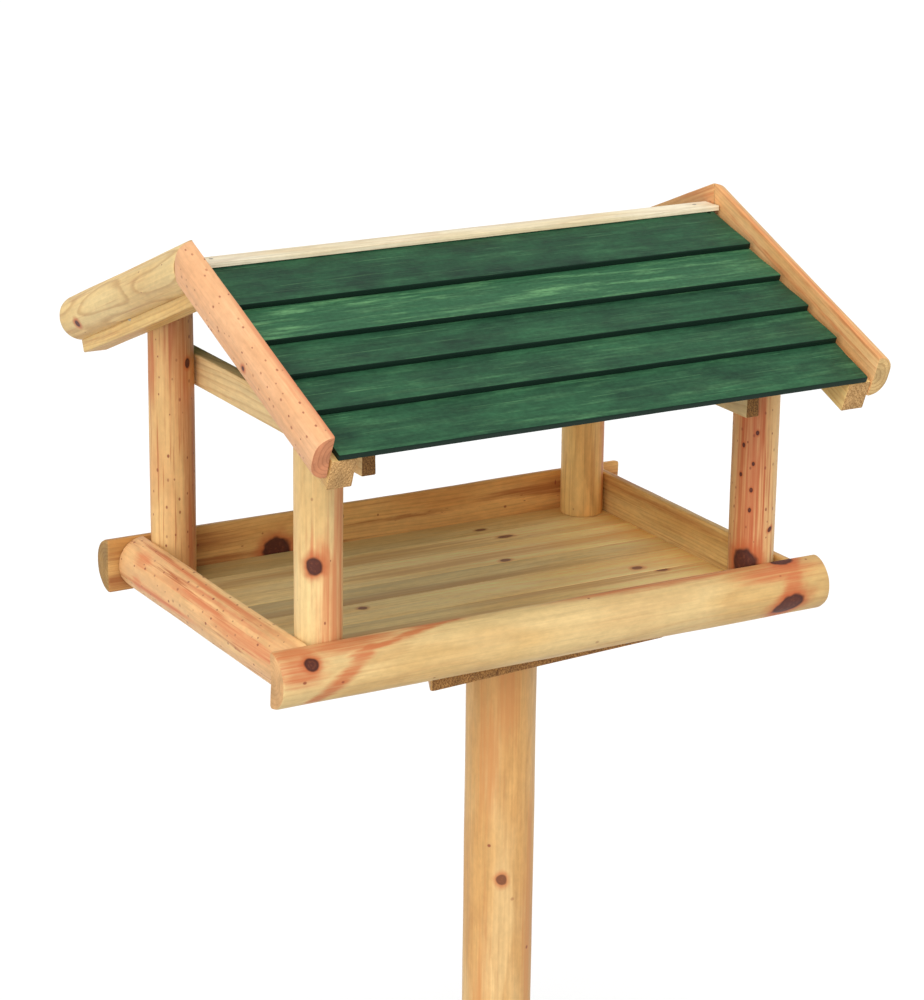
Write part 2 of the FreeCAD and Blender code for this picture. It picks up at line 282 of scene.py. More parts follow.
class Tree:
    """A short way to write a material's nodes."""

    def __init__(self, name):
        self.material = bpy.data.materials.new(name)
        self.material.use_nodes = True
        self.nodes = self.material.node_tree.nodes
        self.links = self.material.node_tree.links
        self.shader = self.nodes["Principled BSDF"]

    def put(self, socket, value):
        """Links a socket to another node's output, or sets its value."""
        if isinstance(value, bpy.types.NodeSocket):
            self.links.new(value, socket)
        else:
            socket.default_value = value

    def node(self, kind, **settings):
        made = self.nodes.new("ShaderNode" + kind)
        for key, value in settings.items():
            setattr(made, key, value)
        return made

    def attribute(self, name, output="Vector"):
        return self.node("Attribute", attribute_name=name).outputs[output]

    def math(self, operation, first, second=0.0, third=0.0, clamp=False):
        made = self.node("Math", operation=operation, use_clamp=clamp)
        for socket, value in zip(made.inputs, (first, second, third)):
            self.put(socket, value)
        return made.outputs[0]

    def times(self, first, second):
        return self.math("MULTIPLY", first, second)

    def vector(self, operation, first, second=(0, 0, 0)):
        made = self.node("VectorMath", operation=operation)
        self.put(made.inputs[0], first)
        self.put(made.inputs[1], second)
        return made.outputs["Value" if operation == "LENGTH" else "Vector"]

    def noise(self, place, scale, detail=2.0, roughness=0.5, output="Fac"):
        """Noise with as many swells a metre along each axis as scale says."""
        made = self.node("TexNoise")
        self.put(made.inputs["Vector"], self.vector("MULTIPLY", place, scale))
        made.inputs["Scale"].default_value = 1.0
        made.inputs["Detail"].default_value = detail
        made.inputs["Roughness"].default_value = roughness
        return made.outputs[output]

    def shift(self, place, scale, reach, detail):
        """A random shift of up to half of reach along each axis."""
        sway = self.noise(place, scale, detail, output="Color")
        return self.vector("MULTIPLY", self.vector("SUBTRACT", sway, (0.5, 0.5, 0.5)), reach)

    def ramp(self, value, stops):
        """Maps a value through (position, grey) stops."""
        made = self.node("ValToRGB")
        self.put(made.inputs[0], value)
        made.color_ramp.interpolation = "EASE"
        elements = made.color_ramp.elements
        while len(elements) < len(stops):
            elements.new(0.5)
        for element, (position, grey) in zip(elements, stops):
            element.position = position
            element.color = (grey, grey, grey, 1)
        return made.outputs[0]

    def mix(self, share, first, second, blend="MIX"):
        made = self.node("Mix", data_type="RGBA", blend_type=blend)
        self.put(made.inputs["Factor"], share)
        self.put(made.inputs["A"], first)
        self.put(made.inputs["B"], second)
        return made.outputs["Result"]

    def span(self, value, low, high, to_low=0.0, to_high=1.0):
        """Eases from one result to another while a value goes from low to high."""
        made = self.node("MapRange", interpolation_type="SMOOTHSTEP")
        for socket, number in zip(made.inputs, (value, low, high, to_low, to_high)):
            self.put(socket, number)
        return made.outputs[0]

    def shade(self, colour, value, between, factors):
        """Multiplies a colour by one factor to another while a value goes between two limits."""
        return self.mix(1.0, colour, self.span(value, *between, *factors), "MULTIPLY")

    def bump(self, height, strength, distance):
        made = self.node("Bump")
        made.inputs["Strength"].default_value = strength
        made.inputs["Distance"].default_value = distance
        self.put(made.inputs["Height"], height)
        return made.outputs["Normal"]


KNOT = linear(86, 38, 24)
KNOT_RIM = linear(62, 26, 18)
KNOT_FLECK = linear(122, 64, 38)
HALO = linear(192, 96, 50)
PIN = linear(140, 62, 40)
LINE = linear(176, 98, 52)

# How fine each figure of the wood is: swells a metre along the grain, and across it both ways.
BENDS = (5, 24, 24)
SHAKES = (70, 200, 200)
FIBRES = (12, 520, 520)
STREAKS = (4, 120, 120)
HAIRS = (9, 330, 330)
PATCHES = (6, 26, 26)
BLUSHES = (3.4, 46, 46)
SWELLS = (7, 34, 34)
MOTTLE = (110, 260, 260)
SPECKLE = (500, 800, 800)
BLOTCHES = (60, 60, 60)
KNOT_WOBBLE = (120, 120, 120)
KNOT_FLECKS = (420, 420, 420)

SHAKE_REACH = (0.008, 0.003, 0.003)
KNOT_SHAKE = (0.1, 0.15, 0.15)   # share of the shake that a knot's edge takes
KNOT_RINGS = 17                  # radians of ring from a knot's heart to its edge
PIN_CELLS_ALONG = 62.0           # cells a metre, each with room for one pin
PIN_CELLS_ROUND = 1.8            # cells a radian
LATE_WOOD = ((0.0, 0.0), (0.5, 0.1), (0.85, 1.0), (1.0, 0.0))

# A look's colours: the pale and the warm of the clear wood, the stain of resin-rich streaks, the darker
# part of each ring, and the end grain. Its shares say how strongly each kind of figure shows, and ragged
# how far the fibres draw out a stain's edge. With loops the rings come out as that many contour lines of
# a slow swell, as where a log's surface skims them.
PLAIN_LOOK = dict(
    light=(236, 204, 144),
    warm=(220, 176, 112),
    stain=(214, 132, 82),
    late=(186, 128, 70),
    end=(206, 160, 104),
    end_dark=(150, 96, 50),
    patch=0.5,
    blush=0.15,
    ring=0.2,
    spacing=3.4 * MM,
    wander=9 * MM,
    loops=0.0,
    lines=0.25,
    pins=0.0,
    rough_end=0.25,
    knot=1.0,
    ragged=1.8,
    knots=(),
    stains=(),
)


class Fir(Tree):
    """Clear-finished fir: rings about the pith, fibres, pins, and knots with the rings fading beside them."""

    def __init__(self, name, look):
        super().__init__(name)
        self.look = {**PLAIN_LOOK, **look}
        self.place = self.attribute("wood")
        self.fibres = self.figure(FIBRES, roughness=0.6)
        self.streaks = self.figure(STREAKS)
        self.hairs = self.figure(HAIRS, detail=3, roughness=0.6)
        self.shake = self.shift(self.place, SHAKES, SHAKE_REACH, detail=2)
        if self.look["knots"]:
            self.knot_distance = self.distance_from_knots()
        self.late = self.late_wood()

    def tint(self, key):
        return linear(*self.look[key])

    def figure(self, scale, **more):
        return self.noise(self.place, scale, **more)

    def nearest(self, place, marks):
        """Distance from the nearest knot or stain, 1 at its edge. Each is (centre, turn, half axes)."""
        result = None
        for centre, turn, axes in marks:
            inside = self.node("Mapping", vector_type="TEXTURE")
            self.put(inside.inputs["Vector"], place)
            inside.inputs["Location"].default_value = centre
            inside.inputs["Rotation"].default_value = turn
            inside.inputs["Scale"].default_value = axes
            distance = self.vector("LENGTH", inside.outputs[0])
            result = distance if result is None else self.math("MINIMUM", result, distance)
        return result

    def distance_from_knots(self):
        steady = self.vector("ADD", self.place, self.vector("MULTIPLY", self.shake, KNOT_SHAKE))
        wobble = self.span(self.figure(KNOT_WOBBLE, detail=1), 0.3, 0.7, 0.92, 1.08)
        return self.times(self.nearest(steady, self.look["knots"]), wobble)

    def late_wood(self):
        """The darker part of each ring, fainter beside the knots."""
        if self.look["loops"]:
            swell = self.figure(SWELLS, detail=1)
            fuzz = self.times(self.fibres, 0.2)
            turns = self.math("MULTIPLY_ADD", swell, self.look["loops"], fuzz)
        else:
            reach = [2 * self.look["wander"]] * 3
            bent = self.vector("ADD", self.place, self.shift(self.place, BENDS, reach, detail=1))
            across = self.vector("LENGTH", self.vector("MULTIPLY", bent, (0, 1, 1)))
            rings = self.math("DIVIDE", across, self.look["spacing"])
            turns = self.math("MULTIPLY_ADD", self.fibres, 0.4, rings)
        late = self.ramp(self.math("FRACT", turns), LATE_WOOD)
        if self.look["knots"]:
            late = self.times(late, self.span(self.knot_distance, 1.1, 2.6, 0.25, 1.0))
        return late

    def clear_wood(self):
        """The colour of the wood between its marks."""
        edge = 0.72 - 0.45 * self.look["patch"]
        patches = self.span(self.figure(PATCHES), edge - 0.1, edge + 0.15)
        colour = self.mix(patches, self.tint("light"), self.tint("warm"))
        colour = self.mix(self.times(self.late, self.look["ring"]), colour, self.tint("late"))
        colour = self.shade(colour, self.fibres, (0.25, 0.75), (0.93, 1.05))
        colour = self.shade(colour, self.streaks, (0.3, 0.7), (0.93, 1.05))
        mottle = self.figure(MOTTLE, detail=3, roughness=0.6)
        colour = self.shade(colour, mottle, (0.25, 0.75), (0.93, 1.06))
        lines = self.times(self.span(self.hairs, 0.56, 0.68), self.look["lines"])
        return self.mix(lines, colour, LINE)

    def stained(self, colour):
        """A faint blush in places, and the resin stains."""
        edge = 0.76 - 0.5 * self.look["blush"]
        blush = self.span(self.figure(BLUSHES, detail=3, roughness=0.55), edge, edge + 0.16)
        if self.look["stains"]:
            distance = self.nearest(self.vector("ADD", self.place, self.shake), self.look["stains"])
            comb = self.math("SUBTRACT", self.hairs, 0.5)
            distance = self.math("MULTIPLY_ADD", comb, -self.look["ragged"], distance)
            depth = self.span(self.hairs, 0.35, 0.6, 0.65, 1.0)
            inside = self.times(self.span(distance, 0.3, 1.5, 1.0, 0.0), depth)
            blush = self.math("MAXIMUM", blush, inside)
        return self.mix(self.times(blush, 0.88), colour, self.tint("stain"))

    def pinned(self, colour):
        """Pin knots: one in some of the cells of a pattern laid round the log."""
        parts = self.node("SeparateXYZ")
        self.put(parts.inputs[0], self.place)
        turned = self.math("ARCTAN2", parts.outputs["Z"], parts.outputs["Y"])
        skin = self.node("CombineXYZ")
        self.put(skin.inputs["X"], self.times(parts.outputs["X"], PIN_CELLS_ALONG))
        self.put(skin.inputs["Y"], self.times(turned, PIN_CELLS_ROUND))
        cells = self.node("TexVoronoi", feature="F1", voronoi_dimensions="2D")
        self.put(cells.inputs["Vector"], skin.outputs[0])
        cells.inputs["Scale"].default_value = 1.0
        chance = self.node("SeparateXYZ")
        self.put(chance.inputs[0], cells.outputs["Color"])
        radius = self.math("MULTIPLY_ADD", chance.outputs["Y"], 0.07, 0.06)
        dot = self.span(self.math("DIVIDE", cells.outputs["Distance"], radius), 0.4, 1.1, 1.0, 0.0)
        depth = self.times(dot, self.math("MULTIPLY_ADD", chance.outputs["Z"], 0.5, 0.4))
        chosen = self.math("LESS_THAN", chance.outputs["X"], self.look["pins"])
        return self.mix(self.times(depth, chosen), colour, PIN)

    def knotted(self, colour):
        """Knots: a dark, flecked and ringed heart in a halo that runs out along the grain."""
        strength = self.look["knot"]
        flames = self.math("MULTIPLY_ADD", self.math("SUBTRACT", self.streaks, 0.5), 0.9, self.knot_distance)
        colour = self.mix(self.span(flames, 0.8, 2.1, 0.9 * strength, 0.0), colour, HALO)
        rings = self.math("SINE", self.times(self.knot_distance, KNOT_RINGS))
        fleck = self.span(self.figure(KNOT_FLECKS), 0.4, 0.75)
        fleck = self.times(fleck, self.span(rings, -1, 1, 0.2, 0.8))
        heart = self.mix(fleck, KNOT, KNOT_FLECK)
        heart = self.mix(self.span(self.knot_distance, 0.6, 0.95), heart, KNOT_RIM)
        return self.mix(self.span(self.knot_distance, 0.8, 1.15, strength, 0.0), colour, heart)

    def end_grain(self, speckle):
        """Sawn ends: rings, torn fibres and a blotchy tone."""
        dark = self.tint("end_dark")
        colour = self.mix(self.times(self.late, 0.4), self.tint("end"), dark)
        torn = self.times(self.span(speckle, 0.62, 0.36), self.look["rough_end"])
        colour = self.mix(torn, colour, dark)
        return self.shade(colour, self.figure(BLOTCHES), (0.3, 0.7), (0.8, 1.15))


def wood_material(name, look):
    """A look's colour, gloss and relief."""
    fir = Fir(name, look)
    cut = fir.attribute("cut", "Fac")
    speckle = fir.noise(fir.place, SPECKLE, detail=3, roughness=0.7)
    colour = fir.stained(fir.clear_wood())
    if fir.look["pins"]:
        colour = fir.pinned(colour)
    if fir.look["knots"]:
        colour = fir.knotted(colour)
    colour = fir.mix(cut, colour, fir.end_grain(speckle))
    # The tone: each piece's own lightness, plus painted shade and light on the rear rim, the floor and the
    # right tie beam.
    tone = fir.math("ADD", fir.attribute("tone", "Fac"), 1.0)
    fir.put(fir.shader.inputs["Base Color"], fir.mix(1.0, colour, tone, "MULTIPLY"))

    gloss = fir.span(fir.streaks, 0.3, 0.7, 0.48, 0.60)
    fir.put(fir.shader.inputs["Roughness"], fir.math("MULTIPLY_ADD", cut, 0.25, gloss))
    fir.shader.inputs["Specular IOR Level"].default_value = 0.35
    grain = fir.math("MULTIPLY_ADD", fir.late, 0.5, fir.times(fir.fibres, 0.6))
    height = fir.math("MULTIPLY_ADD", fir.times(speckle, cut), 2.0, grain)
    fir.put(fir.shader.inputs["Normal"], fir.bump(height, 0.4, 0.35 * MM))
    return fir.material


DEEP_GREEN = linear(22, 54, 38)
MID_GREEN = linear(50, 98, 66)
PALE_GREEN = linear(112, 166, 112)
# The planks' sawn edges: deeper stain, darkened further as painted shade.
EDGE_GREEN_AND_SHADE = linear(14, 38, 27)

# How fine each figure of the stained planks is.
PLANK_BENDS = (4, 24, 24)
PLANK_BEND_REACH = (0.012, 0.012, 0.012)
PLANK_RINGS = 3.4 * MM
PLANK_FIBRES = (14, 400, 400)
PLANK_CLOUDS = (20, 38, 38)
PLANK_WIPES = (16, 150, 150)
PLANK_MOTTLE = (260, 420, 420)
PLANK_LATE_WOOD = ((0.0, 0.0), (0.6, 0.2), (0.88, 1.0), (1.0, 0.0))
SCRATCHES = (16, 1100, 300)
SCRATCH_SLANT = math.radians(28)


def green_material(name, pale, wiped):
    """Translucent green stain over fir: pale is its lightness, wiped is how much bare grain shows through."""
    tree = Tree(name)
    place = tree.attribute("wood")
    bent = tree.vector("ADD", place, tree.shift(place, PLANK_BENDS, PLANK_BEND_REACH, detail=1))
    across = tree.vector("LENGTH", tree.vector("MULTIPLY", bent, (0, 1, 1)))
    fibres = tree.noise(place, PLANK_FIBRES, detail=3, roughness=0.65)
    turns = tree.math("MULTIPLY_ADD", fibres, 0.6, tree.math("DIVIDE", across, PLANK_RINGS))
    late = tree.ramp(tree.math("FRACT", turns), PLANK_LATE_WOOD)
    clouds = tree.noise(place, PLANK_CLOUDS, detail=5, roughness=0.66)
    wipes = tree.noise(place, PLANK_WIPES, detail=5, roughness=0.7)
    slanted = tree.node("Mapping", vector_type="POINT")
    tree.put(slanted.inputs["Vector"], place)
    slanted.inputs["Rotation"].default_value = (0, 0, SCRATCH_SLANT)
    slanted.inputs["Scale"].default_value = SCRATCHES
    scratches = tree.span(tree.noise(slanted.outputs[0], (1, 1, 1), detail=1), 0.68, 0.76)

    level = tree.math("MULTIPLY_ADD", tree.math("SUBTRACT", clouds, 0.5), 2.4, pale)
    colour = tree.mix(tree.math("ADD", level, 0.0, clamp=True), DEEP_GREEN, MID_GREEN)
    bare = tree.times(tree.span(wipes, 0.46, 0.72), tree.span(clouds, 0.35, 0.65, 0.4, 1.0))
    colour = tree.mix(tree.times(bare, wiped), colour, PALE_GREEN)
    colour = tree.mix(tree.times(scratches, 0.4), colour, PALE_GREEN)
    colour = tree.mix(tree.times(late, 0.22), colour, DEEP_GREEN)
    colour = tree.shade(colour, fibres, (0.25, 0.75), (0.84, 1.14))
    colour = tree.shade(colour, tree.noise(place, PLANK_MOTTLE), (0.3, 0.7), (0.90, 1.10))
    # sawn edges: deeper stain, with painted shade
    colour = tree.mix(tree.attribute("cut", "Fac"), colour, EDGE_GREEN_AND_SHADE)
    tree.put(tree.shader.inputs["Base Color"], colour)
    tree.put(tree.shader.inputs["Roughness"], tree.span(clouds, 0.3, 0.7, 0.50, 0.64))
    tree.shader.inputs["Specular IOR Level"].default_value = 0.18
    height = tree.math("MULTIPLY_ADD", late, 0.6, fibres)
    tree.put(tree.shader.inputs["Normal"], tree.bump(height, 0.4, 0.3 * MM))
    return tree.material


STEEL_BLOTCHES = (400, 400, 400)


def steel_material(name, bright, dark):
    """Dull plated or stained steel, a little blotchy."""
    tree = Tree(name)
    blotch = tree.noise(tree.node("TexCoord").outputs["Object"], STEEL_BLOTCHES)
    tree.put(tree.shader.inputs["Base Color"], tree.mix(blotch, dark, bright))
    tree.put(tree.shader.inputs["Roughness"], tree.span(blotch, 0.3, 0.7, 0.32, 0.5))
    tree.shader.inputs["Metallic"].default_value = 1.0
    return tree.material


# --- knots and stains
RIM_RADIUS = 23                  # mm


class Mark:
    """A knot or a resin stain on a stick's surface, in mm from the stick's start.

    angle is in degrees round a log, from its across axis towards its up axis. On a flat face, flat gives
    the mark's place instead, as (across, up). slant turns its length from the grain towards the up axis.
    """

    def __init__(self, along, length, width, angle=0.0, flat=None, slant=0.0):
        self.along, self.length, self.width = along * MM, length * MM, width * MM
        self.angle, self.slant = math.radians(angle), math.radians(slant)
        self.flat = flat

    def ellipsoid(self, wood, radius):
        """Its centre, turn and half axes in the wood's coordinates."""
        if self.flat:
            centre = wood.place(self.along, self.flat[0] * MM, self.flat[1] * MM)
            tangent = Z
        else:
            centre = wood.place(self.along, radius * math.cos(self.angle), radius * math.sin(self.angle))
            tangent = Vector((0, -math.sin(self.angle), math.cos(self.angle)))
        first = X * math.cos(self.slant) + tangent * math.sin(self.slant)
        second = tangent * math.cos(self.slant) - X * math.sin(self.slant)
        turn = Matrix((first, second, first.cross(second))).transposed().to_euler()
        return centre, turn, (self.length, self.width, self.width)


def trail(first, last, length, width, count=5):
    """Marks that follow a slanting line round a rim, from one (along, angle) to another."""
    round_rim = RIM_RADIUS * math.radians(last[1] - first[1])
    slant = math.degrees(math.atan2(round_rim, last[0] - first[0]))
    marks = []
    for number in range(count):
        share = number / (count - 1)
        along = first[0] + (last[0] - first[0]) * share
        angle = first[1] + (last[1] - first[1]) * share
        marks.append(Mark(along, length, width, angle=angle, slant=slant))
    return marks


def marked(look, wood, radius):
    """A look with its marks turned into ellipsoids in the wood's coordinates."""
    ready = dict(look)
    for kind in ("knots", "stains"):
        ready[kind] = [mark.ellipsoid(wood, radius) for mark in look.get(kind, ())]
    return ready


# A mark is measured from where its stick starts. That is the front rim's right end, the rear rim's left
# end, the left rim's front end and the right rim's rear end, and a post's or the pole's foot. Of the gable
# logs, the front left and rear right start at the eaves and the other two at the ridge.
RIM_LOOKS = {
    "front_rim": dict(
        knots=[
            Mark(474, 6, 5.5, angle=37), Mark(40, 15, 8.5, angle=-24, slant=-22), Mark(36, 11, 7, angle=88),
        ],
        stains=[
            Mark(484, 24, 17, angle=66), Mark(484, 20, 9, angle=20), Mark(440, 44, 10, angle=72),
            Mark(364, 30, 4, angle=86), *trail((346, 86), (428, 46), 15, 3, count=9),
            *trail((424, 48), (468, -40), 13, 5.5, count=10), *trail((30, 70), (44, -40), 16, 10),
            Mark(52, 38, 10, angle=58), Mark(140, 105, 5, angle=82),
        ],
        light=(230, 198, 138), warm=(218, 178, 114), stain=(202, 112, 66),
        end=(222, 174, 120), end_dark=(188, 136, 86),
        blush=0.05, patch=0.55, lines=0.12, pins=0.08, ragged=1.0,
    ),
    "rear_rim": dict(
        knots=[
            Mark(156, 13, 11, flat=(0, -9)), Mark(400, 8, 2.5, flat=(0, -17)),
            Mark(350, 6, 2.5, flat=(0, -20)),
        ],
        stains=[
            Mark(90, 62, 6, flat=(0, -12)), Mark(12, 26, 10, flat=(0, -14)), Mark(60, 60, 8, flat=(0, 6)),
            Mark(200, 40, 3, flat=(0, -13)), Mark(290, 60, 2, flat=(0, 2)), Mark(440, 60, 8, flat=(0, 10)),
        ],
        light=(232, 180, 108), warm=(216, 156, 86), stain=(166, 98, 48), end=(192, 152, 92),
        lines=0.3, pins=0.5, ring=0.3,
    ),
    "left_rim": dict(
        stains=[
            Mark(262, 14, 7, angle=40), Mark(262, 10, 6, angle=-10), Mark(215, 62, 3, angle=-12),
            Mark(120, 110, 3, angle=70), Mark(60, 70, 6, angle=20), Mark(170, 70, 3, angle=34),
            Mark(110, 70, 2.5, angle=52),
        ],
        light=(244, 204, 142), warm=(236, 184, 126), stain=(216, 126, 78),
        blush=0.2, lines=0.9, pins=0.9,
    ),
    "right_rim": dict(
        knots=[Mark(90, 6, 5, angle=20)],
        stains=[Mark(150, 90, 3, flat=(0, 16)), Mark(60, 50, 12, angle=60)],
        light=(240, 204, 134), warm=(228, 182, 110), stain=(190, 124, 66),
        blush=0.1, lines=0.3, ring=0.3,
    ),
}

# Larger pins of the front right post, one above another: (along, angle).
FRONT_RIGHT_PINS = ((80, -133), (97, -131), (109, -160), (119, -128), (134, -155), (145, -121), (161, -150))

POST_LOOKS = {
    "post_front_left": dict(
        knots=[Mark(94, 7.5, 6.5, angle=-127), Mark(3, 3, 2.5, angle=-104)],
        stains=[
            Mark(96, 24, 9, angle=-96, slant=-30), Mark(50, 66, 13, angle=-74),
            Mark(150, 110, 8, angle=-56), Mark(10, 34, 12, angle=-96),
        ],
        light=(246, 212, 148), warm=(234, 192, 126), stain=(216, 134, 84),
        blush=0.06, patch=0.4, pins=0.1, ring=0.15,
    ),
    "post_front_right": dict(
        knots=[
            Mark(35, 12, 11, angle=-142), Mark(62, 3, 2.2, angle=-74, slant=60),
            *[Mark(along, 2, 1.4, angle=angle) for along, angle in FRONT_RIGHT_PINS],
        ],
        stains=[
            Mark(110, 200, 16.5, angle=-140), Mark(50, 45, 18, angle=-138),
        ],
        light=(238, 194, 132), warm=(226, 172, 110), stain=(192, 100, 58),
        blush=0.1, lines=0.9, pins=0.7,
    ),
    "post_rear_left": dict(
        knots=[Mark(188, 4, 2.5, angle=-70)],
        stains=[
            Mark(205, 70, 14, angle=-88), Mark(130, 160, 8, angle=-58), Mark(188, 34, 8, angle=-176),
            Mark(60, 70, 4, angle=-66),
        ],
        light=(234, 190, 126), warm=(222, 164, 106), stain=(192, 112, 68),
        blush=0.2, patch=0.55, lines=0.7, pins=0.6,
    ),
    "post_rear_right": dict(
        knots=[Mark(160, 6, 5, angle=60)],
        stains=[Mark(90, 90, 6, angle=-52)],
        light=(250, 208, 132), warm=(240, 184, 108), stain=(206, 124, 66),
        blush=0.05, lines=0.3, pins=0.1, ring=0.3,
    ),
}

GABLE_LOOKS = {
    "front_left": dict(
        knots=[Mark(118, 3.5, 3, angle=-10)],
        stains=[Mark(60, 90, 5, angle=84)],
        light=(240, 186, 138), warm=(232, 174, 124), stain=(216, 136, 94),
        end=(218, 146, 104), end_dark=(160, 94, 62), rough_end=0.1,
        blush=0.05, patch=0.6, lines=0.1, pins=1.0, ring=0.1,
    ),
    "rear_left": dict(
        knots=[Mark(214, 4.5, 4, angle=-30)],
        light=(236, 206, 144), warm=(226, 190, 126), late=(186, 134, 76),
        blush=0.0, ring=0.5, loops=7.0, pins=0.1,
    ),
    "front_right": dict(
        knots=[Mark(120, 7, 6, angle=-20)],
        stains=[Mark(130, 190, 1.8, flat=(0, 7)), Mark(130, 170, 3, flat=(3, 18))],
        light=(246, 200, 140), warm=(238, 182, 118), stain=(216, 134, 78), end=(228, 192, 130),
        blush=0.05, lines=0.4,
    ),
    "rear_right": dict(
        knots=[Mark(60, 6, 6, angle=10)],
        stains=[Mark(230, 40, 16, flat=(0, 0))],
        light=(234, 184, 124), warm=(220, 164, 104), stain=(206, 124, 70),
        blush=0.25, lines=0.4, pins=0.2,
    ),
}

POLE_LOOK = dict(
    knots=[Mark(651, 5, 4.5, angle=-115), Mark(430, 7, 6, angle=-40), Mark(350, 6, 6, angle=120)],
    stains=[
        Mark(760, 60, 9, angle=-140), Mark(600, 120, 7, angle=-62), Mark(500, 90, 8, angle=-150),
        Mark(810, 40, 10, angle=-110),
    ],
    light=(228, 188, 128), warm=(214, 164, 100), stain=(210, 146, 86),
    patch=0.6, lines=0.2, pins=0.05, knot=0.75,
)
LEG_LOOK = dict(
    light=(228, 186, 124), warm=(214, 162, 100), stain=(206, 128, 76),
    blush=0.2, patch=0.6, lines=0.3, pins=0.15,
)
RAFTER_LOOK = dict(
    light=(236, 200, 130), warm=(220, 176, 106), end=(222, 178, 118), end_dark=(146, 100, 52),
    ring=0.35, lines=0.3, blush=0.05, rough_end=0.8,
)
# The tie beams' end colours are end grain, darkened further as painted shade under the roof.
TIE_LOOK = dict(
    light=(240, 208, 150), warm=(226, 188, 128), end=(174, 124, 66), end_dark=(92, 56, 24),
    ring=0.3, lines=0.2, blush=0.0, rough_end=0.9,
)
LATH_LOOK = dict(
    light=(246, 234, 204), warm=(234, 216, 174), end=(220, 190, 140),
    lines=0.05, blush=0.0, spacing=2.4 * MM,
)
PLATE_LOOK = dict(
    light=(214, 172, 110), warm=(196, 146, 84), end=(192, 142, 82), end_dark=(104, 62, 26),
    ring=0.3, rough_end=0.9,
)
FLOOR_LOOK = dict(
    light=(255, 222, 152), warm=(244, 202, 128), late=(214, 166, 98), stain=(220, 168, 102),
    ring=0.25, lines=0.1, blush=0.0, patch=0.45, wander=5 * MM, knot=0.7,
)

# Painted shade and light on the rear rim: its left end darker, its right end lighter.
REAR_RIM_PAINTED_SHADE = 0.20            # how much darker the left end is than the middle
# Painted shade and light on the floor: darker to the left, lighter to the right.
FLOOR_PAINTED_SHADE = 0.30
# Painted shade: the right tie beam is made darker than the left.
TIE_PAINTED_SHADE = {"left": 0.0, "right": -0.12}
GABLE_FLATNESS = {"front_left": 2.5, "rear_left": 2.0, "front_right": 2.5, "rear_right": 2.5}


# --- the pieces
def hand_over(piece, node, material):
    """The piece takes the place of its CAD node."""
    piece.data.materials.append(material)
    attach(piece, "root")
    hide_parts(node)


def finish_wood(piece, node, look):
    hand_over(piece, node, wood_material(node + "_fir", look))


def paint_shade_and_light_along(piece, amount):
    """Painted shade and light: makes a piece darker towards its left end and lighter towards its right end."""
    half = max(vertex.co.x for vertex in piece.data.vertices)
    for vertex, tone in zip(piece.data.vertices, piece.data.attributes["tone"].data):
        tone.value += amount * vertex.co.x / half


def make_rims():
    """Four half logs round the tray, flat side inwards. Each runs so that its third axis points up."""
    for node, outward in {"front_rim": -Y, "rear_rim": Y, "left_rim": -X, "right_rim": X}.items():
        low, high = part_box(node)
        radius = (high.z - low.z) / 2
        along = outward.cross(Z)
        length = abs((high - low).dot(along))
        middle = (low + high) / 2
        start = middle - along * length / 2 - outward * radius / 2
        wood = Wood(pith=(1.5 * MM, 2 * MM))
        piece = stick(node + "_log", (start, along, outward), length, half_section(radius), wood,
                      ease=2.2 * MM, wave=0.7 * MM)
        # painted shade at the rear rim's left end, painted light at its right end
        if node == "rear_rim":
            paint_shade_and_light_along(piece, REAR_RIM_PAINTED_SHADE)
        finish_wood(piece, node, marked(RIM_LOOKS[node], wood, radius))


def make_posts():
    """Four round posts, cut to the roof's slope at the top."""
    fall = math.tan(ROOF_PITCH)
    for slope_name, slope in SLOPES.items():
        for side_name in SIDES:
            node = "post_" + slope_name + "_" + side_name
            low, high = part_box(node)
            middle = (low + high) / 2
            radius = (high.y - low.y) / 2
            length = high.z - low.z - radius * fall
            wood = Wood(pith=(2 * MM, -1 * MM))
            axes = (Vector((middle.x, middle.y, low.z)), Z, X)
            piece = stick(node + "_log", axes, length, round_section(radius), wood,
                          wave=0.6 * MM, cuts=(None, (0, -slope * fall)))
            finish_wood(piece, node, marked(POST_LOOKS[node], wood, radius))


def slope_stick(name, peak, slope, outward, drop, centre_x, outline, wood, ease, wave):
    """A stick that runs along a slope, mitred at the ridge and square at the eaves.

    peak is the gable logs' top edge at the ridge. drop is how far the stick's axis lies below that edge,
    square to the slope.
    """
    square = Vector((0, slope * math.sin(ROOF_PITCH), math.cos(ROOF_PITCH)))
    along = outward.cross(square)
    fall = math.tan(ROOF_PITCH)
    ridge = Vector((centre_x, peak.y, peak.z - drop / math.cos(ROOF_PITCH)))
    length = ROOF_SLOPE - fall * drop
    if along.z < 0:
        axes, cuts = (ridge, along, outward), ((0, -fall), None)
    else:
        axes, cuts = (ridge - along * length, along, outward), (None, (0, fall))
    return stick(name, axes, length, outline, wood, ease=ease, wave=wave, cuts=cuts)


def make_roof_frame():
    """A gable half log and a rafter down each slope at each end, both hung from the gable log's top edge."""
    for slope_name, slope in SLOPES.items():
        for side_name, side in SIDES.items():
            corner = slope_name + "_" + side_name
            low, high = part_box("gable_log_" + corner)
            peak = Vector((0, low.y if slope > 0 else high.y, high.z))
            make_gable_log(corner, peak, slope, side)
            make_rafter(corner, peak, slope, side)


def make_gable_log(corner, peak, slope, side):
    node = "gable_log_" + corner
    low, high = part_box(node)
    flat_x = low.x if side > 0 else high.x
    wood = Wood(pith=(-2 * MM, 3 * MM))
    outline = half_section(GABLE_RADIUS, GABLE_FLATNESS[corner], GABLE_RADIUS - (high.x - low.x))
    piece = slope_stick(node + "_log", peak, slope, X * side, GABLE_RADIUS, flat_x, outline, wood,
                        ease=2.2 * MM, wave=0.5 * MM)
    finish_wood(piece, node, marked(GABLE_LOOKS[corner], wood, GABLE_RADIUS))


